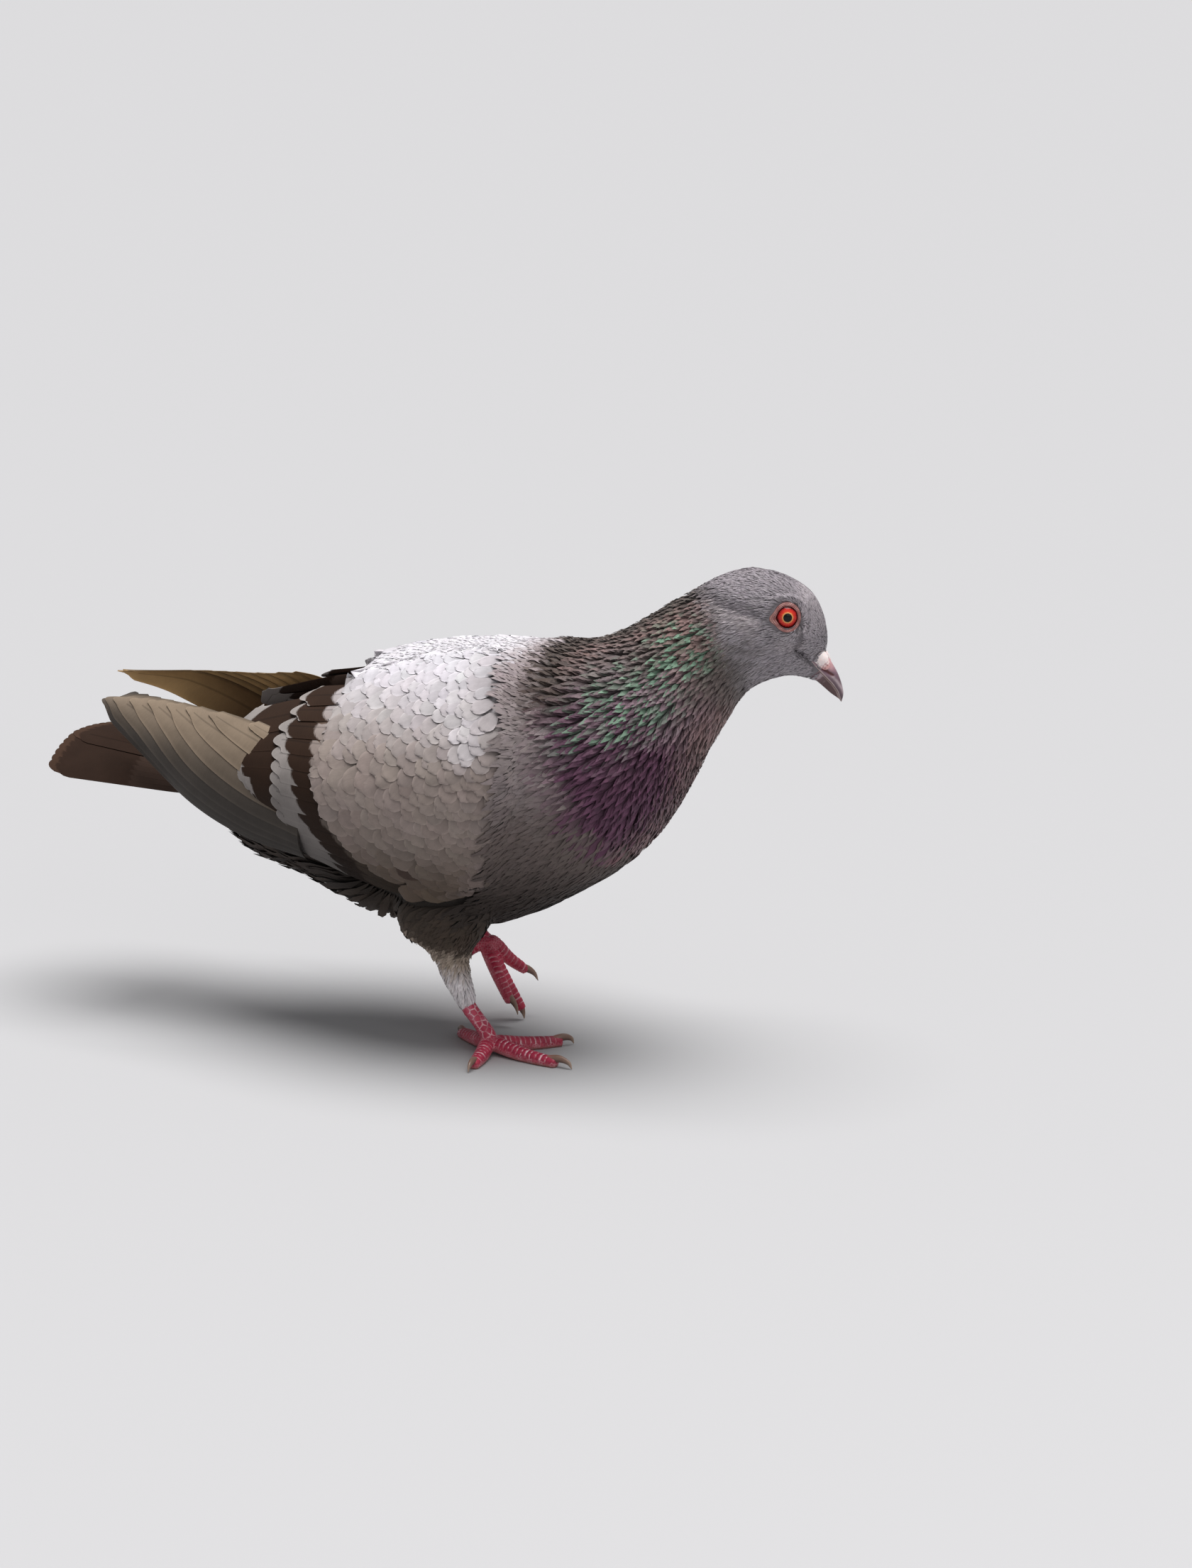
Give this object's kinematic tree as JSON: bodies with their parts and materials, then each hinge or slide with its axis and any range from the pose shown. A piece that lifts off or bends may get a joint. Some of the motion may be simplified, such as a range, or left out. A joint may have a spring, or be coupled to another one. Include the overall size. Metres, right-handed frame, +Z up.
{
  "type": "pigeon",
  "caption": "Life-size still model of a feral pigeon, standing on one flat foot with the other pushing off, head turned a little to its left.",
  "frame": {"origin": "middle of the bounding box, at ground level under the bird", "axes": "+X the way the body faces, +Y the bird's left side, +Z up"},
  "size_m": [0.3174, 0.1094, 0.187],
  "materials": {
    "head_feathers": "soft matt feather",
    "neck_feathers": "feather with a green and purple sheen",
    "body_feathers": "soft matt feather",
    "tail_feathers": "close matt feather vanes",
    "eye": "wet gloss",
    "eyelid_skin": "bare wrinkled skin",
    "covert_feathers": "soft matt feather",
    "flight_feathers": "close matt feather vanes",
    "leg_feathers": "loose downy feather",
    "leg_skin": "scaled skin, satin",
    "claw_horn": "satin horn",
    "bill_horn": "satin horn",
    "cere_skin": "powdery bare skin"
  },
  "bodies": {
    "root": {"head": "head_feathers", "neck": "neck_feathers", "trunk": "body_feathers", "tail": "tail_feathers", "bill_upper": "bill_horn", "bill_lower": "bill_horn", "cere": "cere_skin", "eye_right": "eye", "eyelid_right": "eyelid_skin", "wing_right_coverts": "covert_feathers", "wing_right_secondaries": "flight_feathers", "wing_right_primaries": "flight_feathers", "thigh_right": "leg_feathers", "shank_right": "leg_skin", "foot_right": "leg_skin", "claw_right_back": "claw_horn", "claw_right_inner": "claw_horn", "claw_right_middle": "claw_horn", "claw_right_outer": "claw_horn", "eye_left": "eye", "eyelid_left": "eyelid_skin", "wing_left_coverts": "covert_feathers", "wing_left_secondaries": "flight_feathers", "wing_left_primaries": "flight_feathers", "thigh_left": "leg_feathers", "shank_left": "leg_skin", "foot_left": "leg_skin", "claw_left_back": "claw_horn", "claw_left_inner": "claw_horn", "claw_left_middle": "claw_horn", "claw_left_outer": "claw_horn"}
  },
  "joints": []
}
